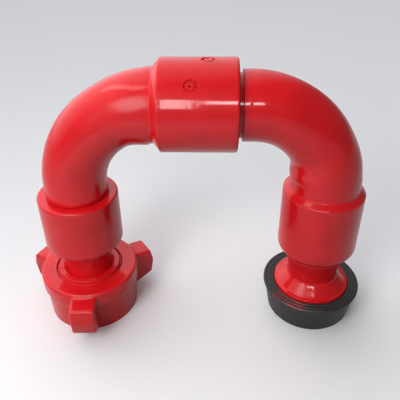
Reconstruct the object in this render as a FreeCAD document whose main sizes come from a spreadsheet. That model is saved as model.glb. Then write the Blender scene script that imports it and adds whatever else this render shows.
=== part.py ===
"""Long-radius swivel elbow for high-pressure lines, standing on its two ends as a U.

Two forged elbows and two end subs are joined by three ball-race swivels. In each swivel a
spigot turns inside a sleeve on three rows of balls, fed through one plugged port a row, and a
packing ring seals the spigot's end. The inlet leg ends in a nose with a three-lug wing nut,
the outlet leg in a threaded hub with a rubber protector pushed over it.

Origin: on the inlet leg's axis, at the face of its nose, which is also the floor. +Z is up
along the inlet leg, and +X points to the outlet leg.
"""
import FreeCAD, Part
import math
import os
import re
import Sketcher
from FreeCAD import Placement, Rotation, Vector

# Driving sizes in millimetres and degrees
SIZES = {
    # elbows; a run is the straight stretch between a bend and its shoulder or sleeve
    "bend_radius": 101.0,
    "elbow_diameter": 76.0,
    "bore_diameter": 44.5,
    "left_collar_run": 8.8,
    "centre_back_run": 7.2,
    "centre_collar_run": 1.5,
    "right_back_run": 6.3,
    # ball races, the same in all three swivels; depths run inwards from the sleeve's mouth
    "ball_diameter": 12.7,
    "ball_gap": 0.2,
    "race_diameter": 71.4,
    "spigot_diameter": 71.0,
    "socket_gap": 0.35,
    "first_row": 15.4,
    "row_pitch": 17.2,
    "end_land": 9.2,
    "end_gap": 0.3,
    "end_chamfer": 1.5,
    "mouth_gap": 4.5,
    "mouth_chamfer": 0.8,
    "backup_height": 2.5,
    "packing_height": 8.2,
    "packing_diameter": 63.0,
    "seal_fit": 0.15,
    "dust_seal_section": 2.6,
    "dust_seal_depth": 4.4,
    "dust_groove_width": 3.4,
    # ball ports, their plugs and the rings that hold them
    "port_diameter": 14.0,
    "port_fit": 0.2,
    "port_step": 45.0,
    "left_port_angle": 45.0,
    "centre_port_angle": 135.0,
    "right_port_angle": 225.0,
    "plug_recess": 2.8,
    "plug_boss_diameter": 9.4,
    "plug_boss_recess": 0.5,
    "plug_hole_diameter": 2.6,
    "plug_hole_depth": 3.5,
    "plug_ring_height": 1.2,
    # sleeves
    "left_mouth_height": 179.2,
    "leg_sleeve_diameter": 98.4,
    "centre_sleeve_diameter": 102.8,
    "left_sleeve_length": 70.0,
    "left_taper_length": 10.0,
    "centre_sleeve_length": 84.8,
    "centre_taper_length": 11.5,
    "right_sleeve_length": 88.5,
    "right_taper_length": 10.3,
    "taper_bury": 1.5,
    "right_bevel_length": 10.5,
    "right_bevel_width": 7.0,
    "right_knee_height": 6.0,
    "right_knee_inset": 1.6,
    "rim_round": 3.0,
    "blend_round": 5.0,
    # inlet sub
    "neck_diameter": 59.0,
    "collar_diameter": 80.0,
    "collar_height": 20.0,
    "nose_diameter": 55.0,
    "nose_cone_height": 12.5,
    # wing nut
    "nut_height": 64.0,
    "nut_rim_diameter": 127.0,
    "nut_rim_height": 20.0,
    "nut_barrel_diameter": 120.4,
    "nut_foot_diameter": 118.0,
    "nut_round": 3.0,
    "nut_foot_round": 1.5,
    "nut_thread_diameter": 95.8,
    "nut_thread_height": 46.0,
    "nut_hole_diameter": 82.6,
    "nut_counterbore_diameter": 88.0,
    "nut_counterbore_depth": 5.0,
    "lug_count": 3.0,
    "lug_angle": 274.0,
    "lug_reach": 89.0,
    "lug_shoulder": 85.0,
    "lug_width": 32.0,
    "lug_top_height": 58.0,
    "lug_edge_height": 41.0,
    "lug_foot_height": 20.0,
    "lug_drop": 1.0,
    "lug_bury": 3.0,
    "lug_corner_round": 8.0,
    "lug_round": 3.0,
    # retaining segments and their snap ring
    "segment_count": 3.0,
    "segment_angle": 322.0,
    "segment_split": 1.2,
    "segment_gap": 0.35,
    "segment_height": 28.8,
    "segment_flange_diameter": 93.0,
    "segment_flange_height": 8.0,
    "segment_top_diameter": 80.0,
    "segment_top_taper": 2.0,
    "seat_gap": 0.3,
    "snap_wire": 3.6,
    "snap_opening": 18.0,
    # outlet sub
    "outlet_neck_diameter": 73.0,
    "outlet_waist_diameter": 64.0,
    "outlet_waist_height": 67.0,
    "hub_diameter": 97.2,
    "hub_height": 47.0,
    "hub_thickness": 10.0,
    "hub_slope_height": 7.0,
    "hub_slope_inset": 3.5,
    "hub_waist_round": 7.0,
    "outlet_thread_root": 86.6,
    "outlet_thread_crest": 95.2,
    "seal_seat_diameter": 66.0,
    "seal_seat_depth": 19.0,
    "seat_mouth_diameter": 80.0,
    "seat_cone_depth": 8.0,
    "seal_ring_height": 9.5,
    "seal_ring_bore": 47.0,
    # thread protector
    "protector_floor": 5.0,
    "protector_gap": 0.3,
    "protector_foot_diameter": 109.0,
    "protector_body_diameter": 122.0,
    "protector_lip_diameter": 126.4,
    "protector_lip_height": 43.0,
    "protector_lip_thickness": 5.0,
    "protector_round": 1.5,
}
ROWS = 3

doc = FreeCAD.newDocument("swivel_elbow")
sheet = doc.addObject("Spreadsheet::Sheet", "Sizes")
for line, (alias, number) in enumerate(SIZES.items(), start=1):
    sheet.set(f"A{line}", alias.replace("_", " "))
    sheet.set(f"B{line}", str(number))
    sheet.setAlias(f"B{line}", alias)
doc.recompute()
subparts = []


def bound(formula):
    """A formula in plain size names, written as the sheet's cells."""
    def cell(word):
        return f"Sizes.{word.group()}" if word.group() in SIZES else word.group()

    return re.sub(r"[a-z_]+", cell, formula)


def value(formula):
    return float(sheet.evalExpression(bound(formula)))


# The formulas that several pieces share
BORE = "bore_diameter / 2"
ELBOW = "elbow_diameter / 2"
SPIGOT = "spigot_diameter / 2"
SOCKET = "(spigot_diameter / 2 + socket_gap)"
RACE = "race_diameter / 2"
GROOVE = "(ball_diameter / 2 + ball_gap)"
LAST_ROW = f"(first_row + {ROWS - 1} * row_pitch)"
SPIGOT_LENGTH = f"({LAST_ROW} + end_land)"
SOCKET_DEPTH = f"({SPIGOT_LENGTH} + end_gap)"
PACKING_DEPTH = f"({SOCKET_DEPTH} + backup_height + packing_height)"
LEG_SPACING = "(2 * bend_radius + centre_back_run + centre_sleeve_length + mouth_gap + centre_collar_run)"
AXIS_HEIGHT = "(left_mouth_height + mouth_gap + left_collar_run + bend_radius)"
CENTRE_MOUTH = "(bend_radius + centre_back_run + centre_sleeve_length)"
RIGHT_MOUTH = f"({AXIS_HEIGHT} - bend_radius - right_back_run - right_sleeve_length)"


def named_body(name, base=("0", "0", "0")):
    """A body whose origin is bound to the sheet."""
    body = doc.addObject("PartDesign::Body", name)
    body.Label = name
    for axis, formula in zip("xyz", base):
        if formula != "0":
            body.setExpression(f"Placement.Base.{axis}", bound(formula))
    subparts.append(body)
    return body


def sketch_in(body, name, plane="XZ_Plane", rise=None):
    sketch = body.newObject("Sketcher::SketchObject", name)
    support = [item for item in body.Origin.OriginFeatures if item.Role == plane][0]
    sketch.AttachmentSupport = [(support, "")]
    sketch.MapMode = "FlatFace"
    if rise:
        sketch.setExpression("AttachmentOffset.Base.z", bound(rise))
    return sketch


def hold(sketch, kind, geometry, end, formula):
    """Bind one coordinate of a point to the sheet; a zero sits on the axis itself."""
    if formula == "0":
        axis = -2 if kind == "DistanceX" else -1
        sketch.addConstraint(Sketcher.Constraint("PointOnObject", geometry, end, axis))
        return
    held = sketch.addConstraint(Sketcher.Constraint(kind, -1, 1, geometry, end, value(formula)))
    sketch.setExpression(f"Constraints[{held}]", bound(formula))


def outline(sketch, corners):
    """A closed outline of straight sides, each corner an (across, up) pair of formulas."""
    places = [Vector(value(across), value(up), 0) for across, up in corners]
    first = sketch.GeometryCount
    count = len(corners)
    for index, place in enumerate(places):
        sketch.addGeometry(Part.LineSegment(place, places[(index + 1) % count]))
    for index, (across, up) in enumerate(corners):
        here, after = first + index, first + (index + 1) % count
        sketch.addConstraint(Sketcher.Constraint("Coincident", here, 2, after, 1))
        hold(sketch, "DistanceX", here, 1, across)
        hold(sketch, "DistanceY", here, 1, up)


def ring(sketch, across, up, radius):
    """A circle with its centre and radius bound to the sheet."""
    centre = Vector(value(across), value(up), 0)
    index = sketch.addGeometry(Part.Circle(centre, Vector(0, 0, 1), value(radius)))
    hold(sketch, "DistanceX", index, 3, across)
    hold(sketch, "DistanceY", index, 3, up)
    held = sketch.addConstraint(Sketcher.Constraint("Radius", index, value(radius)))
    sketch.setExpression(f"Constraints[{held}]", bound(radius))


def turned(axis, corners):
    """(along, radius) pairs as (across, up) pairs of a sketch turned about its V or H axis."""
    return [(radius, along) if axis == "V" else (along, radius) for along, radius in corners]


def revolve(body, name, axis, corners, kind="Revolution"):
    sketch = sketch_in(body, name + "_profile")
    outline(sketch, turned(axis, corners))
    return spin(body, name, axis, sketch, kind)


def spin(body, name, axis, sketch, kind, angle=360):
    doc.recompute()
    feature = body.newObject("PartDesign::" + kind, name)
    feature.Profile = sketch
    feature.ReferenceAxis = (sketch, [axis + "_Axis"])
    feature.Angle = angle
    doc.recompute()
    return feature


def round_rings(body, name, axis, radius, places, kind="Fillet"):
    """Round or chamfer the circular edges at the (along, radius) places."""
    base = body.Tip
    wanted = [(value(along), value(reach)) for along, reach in places]
    names = []
    for index, edge in enumerate(base.Shape.Edges, start=1):
        if not isinstance(edge.Curve, Part.Circle):
            continue
        along = edge.Curve.Center.z if axis == "V" else edge.Curve.Center.x
        for place, reach in wanted:
            if abs(along - place) < 0.02 and abs(edge.Curve.Radius - reach) < 0.02:
                names.append(f"Edge{index}")
    feature = body.newObject("PartDesign::" + kind, name)
    feature.Base = (base, names)
    feature.setExpression("Radius" if kind == "Fillet" else "Size", bound(radius))
    doc.recompute()
    return feature


# The swivels: each has a frame at the centre of its sleeve's mouth, with Z out of the mouth
SWIVELS = {
    "left": {
        "place": Placement(Vector(0, 0, value("left_mouth_height")), Rotation()),
        "first_angle": "left_port_angle",
        "sleeve": "leg_sleeve_diameter / 2",
    },
    "centre": {
        "place": Placement(
            Vector(value(CENTRE_MOUTH), 0, value(AXIS_HEIGHT)),
            Rotation(Vector(0, 1, 0), 90),
        ),
        "first_angle": "centre_port_angle",
        "sleeve": "centre_sleeve_diameter / 2",
    },
    "right": {
        "place": Placement(
            Vector(value(LEG_SPACING), 0, value(RIGHT_MOUTH)),
            Rotation(Vector(1, 0, 0), 180),
        ),
        "first_angle": "right_port_angle",
        "sleeve": "leg_sleeve_diameter / 2",
    },
}


def inside(mouth, out, depth):
    """Formula for the place that lies depth inside a mouth whose sleeve opens towards out."""
    return f"{mouth} {'-' if out > 0 else '+'} ({depth})"


def port_place(swivel, row):
    """Frame of one port: at the race circle of its row, with Z pointing outwards."""
    angle = value(f"{SWIVELS[swivel]['first_angle']} + {row} * port_step")
    outward = Vector(math.cos(math.radians(angle)), math.sin(math.radians(angle)), 0)
    depth = value(f"first_row + {row} * row_pitch")
    place = Placement(outward * value(RACE) - Vector(0, 0, depth), Rotation(Vector(0, 0, 1), outward))
    return SWIVELS[swivel]["place"] * place


def male_end(body, axis, mouth, out):
    """Spigot with its chamfered end, ball grooves and dust seal groove."""
    shoulder = inside(mouth, out, "-mouth_gap")
    end = inside(mouth, out, SPIGOT_LENGTH)
    chamfer = inside(mouth, out, f"{SPIGOT_LENGTH} - end_chamfer")
    corners = [
        (shoulder, BORE),
        (shoulder, SPIGOT),
        (chamfer, SPIGOT),
        (end, f"{SPIGOT} - end_chamfer"),
        (end, BORE),
    ]
    revolve(body, "spigot", axis, corners)
    cut_races(body, axis, mouth, out, "spigot")
    half = "dust_groove_width / 2"
    floor = f"{SPIGOT} - dust_seal_section"
    near = inside(mouth, out, f"dust_seal_depth - {half}")
    far = inside(mouth, out, f"dust_seal_depth + {half}")
    above = f"{SPIGOT} + socket_gap"
    revolve(body, "dust_groove", axis, [(near, floor), (near, above), (far, above), (far, floor)], "Groove")


def cut_races(body, axis, mouth, out, name):
    """The ball grooves, all rows in one cut."""
    sketch = sketch_in(body, name + "_races")
    for row in range(ROWS):
        along = inside(mouth, out, f"first_row + {row} * row_pitch")
        across, up = turned(axis, [(along, RACE)])[0]
        ring(sketch, across, up, GROOVE)
    spin(body, name + "_race_grooves", axis, sketch, "Groove")


def cut_ports(body, swivel):
    """One radial port for each row, from the race out through the sleeve."""
    for row in range(ROWS):
        port = body.newObject("PartDesign::SubtractiveCylinder", f"port_{row + 1}")
        port.setExpression("Radius", bound("port_diameter / 2"))
        port.setExpression("Height", bound(f"{SWIVELS[swivel]['sleeve']} - {RACE} + 5"))
        port.Placement = body.Placement.inverse() * port_place(swivel, row)
        doc.recompute()


def socket_corners(mouth, out, rim_along, rim_radius):
    """Inside of a sleeve, from the bore out to the mouth's rim, as (along, radius) formulas."""
    packing = "packing_diameter / 2"
    return [
        (inside(mouth, out, PACKING_DEPTH), BORE),
        (inside(mouth, out, PACKING_DEPTH), packing),
        (inside(mouth, out, SOCKET_DEPTH), packing),
        (inside(mouth, out, SOCKET_DEPTH), SOCKET),
        (inside(mouth, out, "mouth_chamfer"), SOCKET),
        (mouth, f"{SOCKET} + mouth_chamfer"),
        (rim_along, rim_radius),
    ]


def closed_end(back, blend, sleeve):
    """Outside of a sleeve's closed end: a taper that runs down into the elbow's wall."""
    outer = f"{ELBOW} - taper_bury"
    inner = f"{ELBOW} - 2 * taper_bury"
    return [(back, sleeve), (blend, outer), (blend, inner), (back, inner), (back, BORE)]


def elbow_tube(body, side, start, finish):
    """Bent tube from start to finish, about the corner where the two centre lines cross.

    The vertical run stands below the corner, and the level run leaves it towards side.
    """
    radius = "bend_radius"
    bend = f"{'' if side > 0 else '-'}{radius}"
    path = sketch_in(body, "centre_line")
    low = Vector(0, value(start), 0)
    turn_low = Vector(0, -value(radius), 0)
    turn_high = Vector(value(bend), 0, 0)
    far = Vector(value(finish), 0, 0)
    centre = Vector(value(bend), -value(radius), 0)
    path.addGeometry(Part.LineSegment(low, turn_low))
    circle = Part.Circle(centre, Vector(0, 0, 1), value(radius))
    first, last = (math.pi / 2, math.pi) if side > 0 else (0, math.pi / 2)
    path.addGeometry(Part.ArcOfCircle(circle, first, last))
    path.addGeometry(Part.LineSegment(turn_high, far))
    low_end, high_end = (2, 1) if side > 0 else (1, 2)
    path.addConstraint(Sketcher.Constraint("Coincident", 0, 2, 1, low_end))
    path.addConstraint(Sketcher.Constraint("Coincident", 1, high_end, 2, 1))
    hold(path, "DistanceX", 0, 1, "0")
    hold(path, "DistanceY", 0, 1, start)
    hold(path, "DistanceX", 1, low_end, "0")
    hold(path, "DistanceY", 1, low_end, f"-{radius}")
    hold(path, "DistanceX", 1, 3, bend)
    hold(path, "DistanceY", 1, 3, f"-{radius}")
    hold(path, "DistanceX", 1, high_end, bend)
    hold(path, "DistanceX", 2, 2, finish)
    hold(path, "DistanceY", 2, 2, "0")
    section = sketch_in(body, "tube_section", "XY_Plane", start)
    ring(section, "0", "0", ELBOW)
    ring(section, "0", "0", BORE)
    doc.recompute()
    tube = body.newObject("PartDesign::AdditivePipe", "tube")
    tube.Profile = section
    tube.Spine = (path, ["Edge1", "Edge2", "Edge3"])
    doc.recompute()
    return tube


def male_sub():
    """Inlet sub: sleeve, neck, collar and the nose that seats in the next fitting."""
    body = named_body("male_sub")
    mouth = "left_mouth_height"
    sleeve = "leg_sleeve_diameter / 2"
    neck = "neck_diameter / 2"
    sleeve_foot = f"{mouth} - left_sleeve_length"
    neck_top = f"{mouth} - left_sleeve_length - left_taper_length"
    corners = socket_corners(mouth, 1, mouth, sleeve) + [
        (sleeve_foot, sleeve),
        (neck_top, neck),
        ("collar_height", neck),
        ("collar_height", "collar_diameter / 2"),
        ("nose_cone_height", "collar_diameter / 2"),
        ("0", "nose_diameter / 2"),
        ("0", BORE),
    ]
    revolve(body, "forging", "V", corners)
    round_rings(body, "sleeve_rim", "V", "rim_round", [(mouth, sleeve)])
    round_rings(body, "sleeve_blend", "V", "blend_round", [(sleeve_foot, sleeve), (neck_top, neck)])
    round_rings(body, "collar_edges", "V", "mouth_chamfer", [("collar_height", "collar_diameter / 2")])
    cut_races(body, "V", mouth, 1, "sleeve")
    cut_ports(body, "left")


def left_elbow():
    """Elbow with its spigot in the inlet sub and the centre sleeve at its far end."""
    body = named_body("left_elbow", ("0", "0", AXIS_HEIGHT))
    spigot_mouth = f"left_mouth_height - {AXIS_HEIGHT}"
    mouth = CENTRE_MOUTH
    sleeve = "centre_sleeve_diameter / 2"
    back = f"{mouth} - centre_sleeve_length"
    blend = f"{back} - centre_taper_length"
    corners = socket_corners(mouth, 1, mouth, sleeve) + closed_end(back, blend, sleeve)
    revolve(body, "sleeve", "H", corners)
    round_rings(body, "sleeve_edges", "H", "rim_round", [(mouth, sleeve), (back, sleeve)])
    elbow_tube(body, 1, f"{spigot_mouth} + mouth_gap", back)
    male_end(body, "V", spigot_mouth, 1)
    cut_races(body, "H", mouth, 1, "sleeve")
    cut_ports(body, "centre")


def right_elbow():
    """Elbow with its spigot in the centre sleeve and a sleeve at the foot of its leg."""
    body = named_body("right_elbow", (LEG_SPACING, "0", AXIS_HEIGHT))
    spigot_mouth = f"{CENTRE_MOUTH} - {LEG_SPACING}"
    mouth = f"{RIGHT_MOUTH} - {AXIS_HEIGHT}"
    sleeve = "leg_sleeve_diameter / 2"
    back = f"{mouth} + right_sleeve_length"
    blend = f"{back} + right_taper_length"
    corners = socket_corners(mouth, -1, mouth, f"{sleeve} - right_bevel_width")
    corners += [
        (f"{mouth} + right_knee_height", f"{sleeve} - right_knee_inset"),
        (f"{mouth} + right_bevel_length", sleeve),
    ]
    corners += closed_end(back, blend, sleeve)
    revolve(body, "sleeve", "V", corners)
    round_rings(body, "sleeve_back", "V", "rim_round", [(back, sleeve)])
    elbow_tube(body, -1, back, f"{spigot_mouth} + mouth_gap")
    male_end(body, "H", spigot_mouth, 1)
    cut_races(body, "V", mouth, -1, "sleeve")
    cut_ports(body, "right")


def female_sub():
    """Outlet sub: spigot, waisted neck, hub, thread and the seat for the next nose."""
    body = named_body("female_sub", (LEG_SPACING, "0", "0"))
    mouth = RIGHT_MOUTH
    shoulder = f"{mouth} - mouth_gap"
    hub = "hub_diameter / 2"
    waist = "outlet_waist_diameter / 2"
    thread = "outlet_thread_root / 2"
    foot = "protector_floor + protector_gap"
    hub_foot = "hub_height - hub_thickness"
    seal_top = f"{foot} + seal_seat_depth"
    seat = f"{foot} + seat_cone_depth"
    corners = [
        (shoulder, BORE),
        (shoulder, "outlet_neck_diameter / 2"),
        ("outlet_waist_height", waist),
        ("hub_height + hub_slope_height", waist),
        ("hub_height", f"{hub} - hub_slope_inset"),
        ("hub_height - hub_slope_inset / 2", hub),
        (hub_foot, hub),
        (hub_foot, thread),
        (foot, thread),
        (foot, "seat_mouth_diameter / 2"),
        (seat, "seal_seat_diameter / 2"),
        (seal_top, "seal_seat_diameter / 2"),
        (seal_top, BORE),
    ]
    revolve(body, "forging", "V", corners)
    round_rings(body, "waist", "V", "hub_waist_round", [("hub_height + hub_slope_height", waist)])
    male_end(body, "V", mouth, -1)


def round_edges(body, name, radius, chosen):
    """Round the edges whose middle point is chosen."""
    base = body.Tip
    edges = enumerate(base.Shape.Edges, start=1)
    names = [f"Edge{index}" for index, edge in edges if chosen(edge.CenterOfMass)]
    feature = body.newObject("PartDesign::Fillet", name)
    feature.Base = (base, names)
    feature.setExpression("Radius", bound(radius))
    doc.recompute()


def wing_nut():
    """Nut with three hammer lugs, a banded barrel and the ledge that pulls on the segments."""
    body = named_body("wing_nut")
    rim = "nut_rim_diameter / 2"
    barrel = "nut_barrel_diameter / 2"
    thread = "nut_thread_diameter / 2"
    hole = "nut_hole_diameter / 2"
    pocket = "nut_counterbore_diameter / 2"
    band_foot = "nut_height - nut_rim_height"
    ledge_top = "nut_height - nut_counterbore_depth"
    root = f"({thread} + lug_bury)"
    lug_back = f"{rim} - nut_round"
    lug_crown = "nut_height - nut_round - lug_drop"
    sketch = sketch_in(body, "lug_profile")
    lug = [
        (root, lug_crown),
        (lug_back, lug_crown),
        ("lug_shoulder", "lug_top_height"),
        ("lug_reach", "lug_edge_height"),
        ("lug_shoulder", "lug_foot_height"),
        (barrel, "lug_foot_height / 2"),
        (root, "lug_foot_height / 2"),
    ]
    outline(sketch, lug)
    doc.recompute()
    pad = body.newObject("PartDesign::Pad", "lug")
    pad.Profile = sketch
    pad.setExpression("Length", bound("lug_width"))
    pad.Midplane = True
    doc.recompute()
    half = value("lug_width / 2")
    nose = value(f"(lug_shoulder + {rim}) / 2")
    flank = value(f"({root} + {lug_back}) / 2")
    round_edges(
        body, "lug_corners", "lug_corner_round", lambda middle: abs(middle.y) < 0.01 and middle.x > nose
    )
    round_edges(
        body, "lug_flanks", "lug_round", lambda middle: abs(abs(middle.y) - half) < 0.01 and middle.x > flank
    )
    pattern = body.newObject("PartDesign::PolarPattern", "lugs")
    pattern.TransformMode = "Whole shape"
    pattern.Axis = (sketch, ["V_Axis"])
    pattern.Angle = 360
    pattern.setExpression("Occurrences", bound("lug_count"))
    body.Tip = pattern
    doc.recompute()
    corners = [
        ("0", thread),
        ("0", "nut_foot_diameter / 2"),
        (f"{band_foot} - ({rim} - {barrel})", barrel),
        (band_foot, rim),
        ("nut_height", rim),
        ("nut_height", pocket),
        (ledge_top, pocket),
        (ledge_top, hole),
        ("nut_thread_height", hole),
        ("nut_thread_height", thread),
    ]
    revolve(body, "barrel", "V", corners)
    round_rings(body, "rim_edge", "V", "nut_round", [("nut_height", rim)])
    round_rings(body, "foot_edge", "V", "nut_foot_round", [("0", "nut_foot_diameter / 2")])
    body.setExpression("Placement.Rotation.Angle", bound("lug_angle"))


def nut_segments():
    """Three like segments that fill the space between the neck and the nut's ledge."""
    bottom = "nut_thread_height - seat_gap - segment_flange_height"
    flange_top = "nut_thread_height - seat_gap"
    bore = "neck_diameter / 2 + segment_gap"
    trunk = "nut_hole_diameter / 2 - segment_gap"
    top = f"{bottom} + segment_height"
    wire = "snap_wire / 2"
    wire_height = f"nut_height - nut_counterbore_depth + seat_gap + {wire}"
    corners = [
        (bottom, bore),
        (bottom, "segment_flange_diameter / 2"),
        (flange_top, "segment_flange_diameter / 2"),
        (flange_top, trunk),
        (f"{top} - segment_top_taper", trunk),
        (top, "segment_top_diameter / 2"),
        (top, bore),
    ]
    share = 360 / value("segment_count")
    split = math.degrees(value("segment_split") / value("neck_diameter / 2"))
    for number in range(int(value("segment_count"))):
        body = named_body(f"nut_segment_{number + 1}")
        sketch = sketch_in(body, "section")
        outline(sketch, turned("V", corners))
        spin(body, "segment", "V", sketch, "Revolution", share - split)
        groove = sketch_in(body, "wire_seat")
        ring(groove, trunk, wire_height, f"{wire} + seal_fit")
        spin(body, "wire_groove", "V", groove, "Groove")
        turn = value("segment_angle") + number * share
        body.Placement = Placement(Vector(), Rotation(Vector(0, 0, 1), turn + split / 2))


def nut_snap_ring():
    """Open wire ring that holds the segments together and hangs them in the nut."""
    wire = doc.addObject("Part::Torus", "nut_snap_ring")
    wire.Label = "nut_snap_ring"
    wire.setExpression("Radius1", bound("nut_hole_diameter / 2 - segment_gap"))
    wire.setExpression("Radius2", bound("snap_wire / 2"))
    wire.setExpression("Angle3", bound("360 - snap_opening"))
    height = "nut_height - nut_counterbore_depth + seat_gap + snap_wire / 2"
    wire.setExpression("Placement.Base.z", bound(height))
    subparts.append(wire)


def union_seal_ring():
    """Rubber ring in the outlet sub's seat, which the next nose presses on."""
    body = named_body("union_seal_ring", (LEG_SPACING, "0", "0"))
    top = "protector_floor + protector_gap + seal_seat_depth"
    foot = f"{top} - seal_ring_height"
    outer = "seal_seat_diameter / 2 - seal_fit"
    bore = "seal_ring_bore / 2"
    corners = [(top, bore), (top, outer), (foot, outer), (foot, f"{bore} + 5"), (f"{foot} + 3", bore)]
    revolve(body, "moulding", "V", corners)


def thread_protector():
    """Moulded cup with a broad lip, pushed over the outlet thread up to the hub."""
    body = named_body("thread_protector", (LEG_SPACING, "0", "0"))
    lip = "protector_lip_diameter / 2"
    hub_fit = "hub_diameter / 2 + protector_gap"
    thread_fit = "outlet_thread_crest / 2 + protector_gap"
    ledge = "hub_height - hub_thickness - protector_gap"
    lip_foot = "protector_lip_height - protector_lip_thickness"
    corners = [
        ("0", "0"),
        ("0", "protector_foot_diameter / 2"),
        (lip_foot, "protector_body_diameter / 2"),
        (lip_foot, lip),
        ("protector_lip_height", lip),
        ("protector_lip_height", hub_fit),
        (ledge, hub_fit),
        (ledge, thread_fit),
        ("protector_floor", thread_fit),
        ("protector_floor", "0"),
    ]
    revolve(body, "moulding", "V", corners)
    edges = [("0", "protector_foot_diameter / 2"), ("protector_lip_height", lip), (lip_foot, lip)]
    round_rings(body, "soft_edges", "V", "protector_round", edges)


def swivel_ring(name, swivel, corners):
    body = named_body(name)
    revolve(body, "ring", "V", corners)
    body.Placement = SWIVELS[swivel]["place"]


def group(name, swivel, shape, places):
    """Like pieces that share one sub-part, placed in the swivel's own frame."""
    item = doc.addObject("Part::Feature", name)
    item.Label = name
    copies = []
    for place in places:
        copy = shape.copy()
        copy.Placement = place.multiply(copy.Placement)
        copies.append(copy)
    item.Shape = Part.makeCompound(copies)
    item.Placement = SWIVELS[swivel]["place"]
    subparts.append(item)


def plug_shape(swivel):
    """Ball plug, drawn upwards from the race circle: body, boss and a blind pulling hole."""
    reach = value(SWIVELS[swivel]["sleeve"]) - value(RACE)
    foot = value(GROOVE) + value("ball_gap")
    body = Part.makeCylinder(
        value("port_diameter / 2 - port_fit"), reach - value("plug_recess") - foot, Vector(0, 0, foot)
    )
    top = reach - value("plug_boss_recess")
    boss = Part.makeCylinder(value("plug_boss_diameter / 2"), top - foot, Vector(0, 0, foot))
    depth = value("plug_hole_depth")
    hole = Part.makeCylinder(value("plug_hole_diameter / 2"), depth, Vector(0, 0, top - depth))
    return body.fuse(boss).cut(hole).removeSplitter()


def plug_ring_shape(swivel):
    """Retaining ring that lies on the plug's shoulder, round its boss."""
    floor = value(SWIVELS[swivel]["sleeve"]) - value(RACE) - value("plug_recess")
    height = value("plug_ring_height")
    outer = Part.makeCylinder(value("port_diameter / 2 - port_fit"), height, Vector(0, 0, floor))
    inner = Part.makeCylinder(value("plug_boss_diameter / 2 + port_fit"), height, Vector(0, 0, floor))
    return outer.cut(inner)


def swivel_pieces(swivel):
    """Packing, backup ring, dust seal, balls, plugs and plug rings of one swivel."""
    outer = "packing_diameter / 2 - seal_fit"
    bore = f"{BORE} + seal_fit"
    deep, shallow = f"-{PACKING_DEPTH}", f"-({PACKING_DEPTH} - packing_height)"
    lip = "packing_height / 4"
    packing = [
        (deep, bore),
        (deep, outer),
        (shallow, outer),
        (shallow, f"({outer} + {bore}) / 2 + {lip}"),
        (f"{shallow} - {lip}", f"({outer} + {bore}) / 2"),
        (shallow, f"({outer} + {bore}) / 2 - {lip}"),
        (shallow, bore),
    ]
    swivel_ring(f"{swivel}_packing_ring", swivel, packing)
    top = f"-({SPIGOT_LENGTH} + end_gap)"
    backup = [(shallow, bore), (shallow, outer), (top, outer), (top, bore)]
    swivel_ring(f"{swivel}_backup_ring", swivel, backup)
    seal = doc.addObject("Part::Torus", f"{swivel}_dust_seal")
    seal.Label = f"{swivel}_dust_seal"
    seal.setExpression("Radius1", bound(f"{SPIGOT} - dust_seal_section / 2 + seal_fit / 2"))
    seal.setExpression("Radius2", bound("dust_seal_section / 2"))
    frame = SWIVELS[swivel]["place"]
    seal.Placement = frame * Placement(Vector(0, 0, -value("dust_seal_depth")), Rotation())
    subparts.append(seal)
    radius = value(RACE)
    count = int(math.pi / math.asin(value("ball_diameter + ball_gap") / (2 * radius)))
    ball = Part.makeSphere(value("ball_diameter / 2"), Vector(radius, 0, 0))
    for row in range(ROWS):
        depth = value(f"first_row + {row} * row_pitch")
        places = []
        for index in range(count):
            turn = Rotation(Vector(0, 0, 1), 360 * (index + row / ROWS) / count)
            places.append(Placement(Vector(0, 0, -depth), turn))
        group(f"{swivel}_ball_row_{row + 1}", swivel, ball, places)
    ports = [frame.inverse() * port_place(swivel, row) for row in range(ROWS)]
    group(f"{swivel}_ball_plugs", swivel, plug_shape(swivel), ports)
    group(f"{swivel}_plug_rings", swivel, plug_ring_shape(swivel), ports)


male_sub()
left_elbow()
right_elbow()
female_sub()
wing_nut()
nut_segments()
nut_snap_ring()
union_seal_ring()
thread_protector()
for side in SWIVELS:
    swivel_pieces(side)
doc.recompute()

for item in doc.Objects:
    bad = [state for state in item.State if state in ("Invalid", "Error")]
    if bad:
        raise RuntimeError(f"{item.Name} ({item.Label}) is {bad}: {item.getStatusString()}")
os.makedirs("parts", exist_ok=True)
for item in subparts:
    if item.Shape.isNull() or not item.Shape.isValid():
        raise RuntimeError(f"{item.Label} has no valid shape")

    item.Shape.exportStep(f"parts/{item.Label}.step")
print(len(subparts), "sub-parts written")
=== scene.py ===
import math

import bpy
from mathutils import Matrix, Vector


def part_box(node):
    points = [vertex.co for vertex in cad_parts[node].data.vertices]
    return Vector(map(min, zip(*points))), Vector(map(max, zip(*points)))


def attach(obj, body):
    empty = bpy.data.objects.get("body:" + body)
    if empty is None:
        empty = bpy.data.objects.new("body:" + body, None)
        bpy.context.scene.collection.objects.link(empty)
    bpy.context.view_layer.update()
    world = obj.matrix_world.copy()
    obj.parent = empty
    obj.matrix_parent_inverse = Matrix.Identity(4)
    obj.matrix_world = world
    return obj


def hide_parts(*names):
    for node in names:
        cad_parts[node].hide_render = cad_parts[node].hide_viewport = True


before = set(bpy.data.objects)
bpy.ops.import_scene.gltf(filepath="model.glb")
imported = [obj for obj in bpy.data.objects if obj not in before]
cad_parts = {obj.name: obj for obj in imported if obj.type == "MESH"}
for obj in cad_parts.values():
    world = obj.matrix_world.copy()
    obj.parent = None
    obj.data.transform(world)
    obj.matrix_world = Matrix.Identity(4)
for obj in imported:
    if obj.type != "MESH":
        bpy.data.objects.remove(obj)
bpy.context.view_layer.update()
bpy.ops.object.select_all(action="DESELECT")

# Sizes are in millimetres, and a place along an axis is measured from the frame's origin
MM = 0.001

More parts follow.
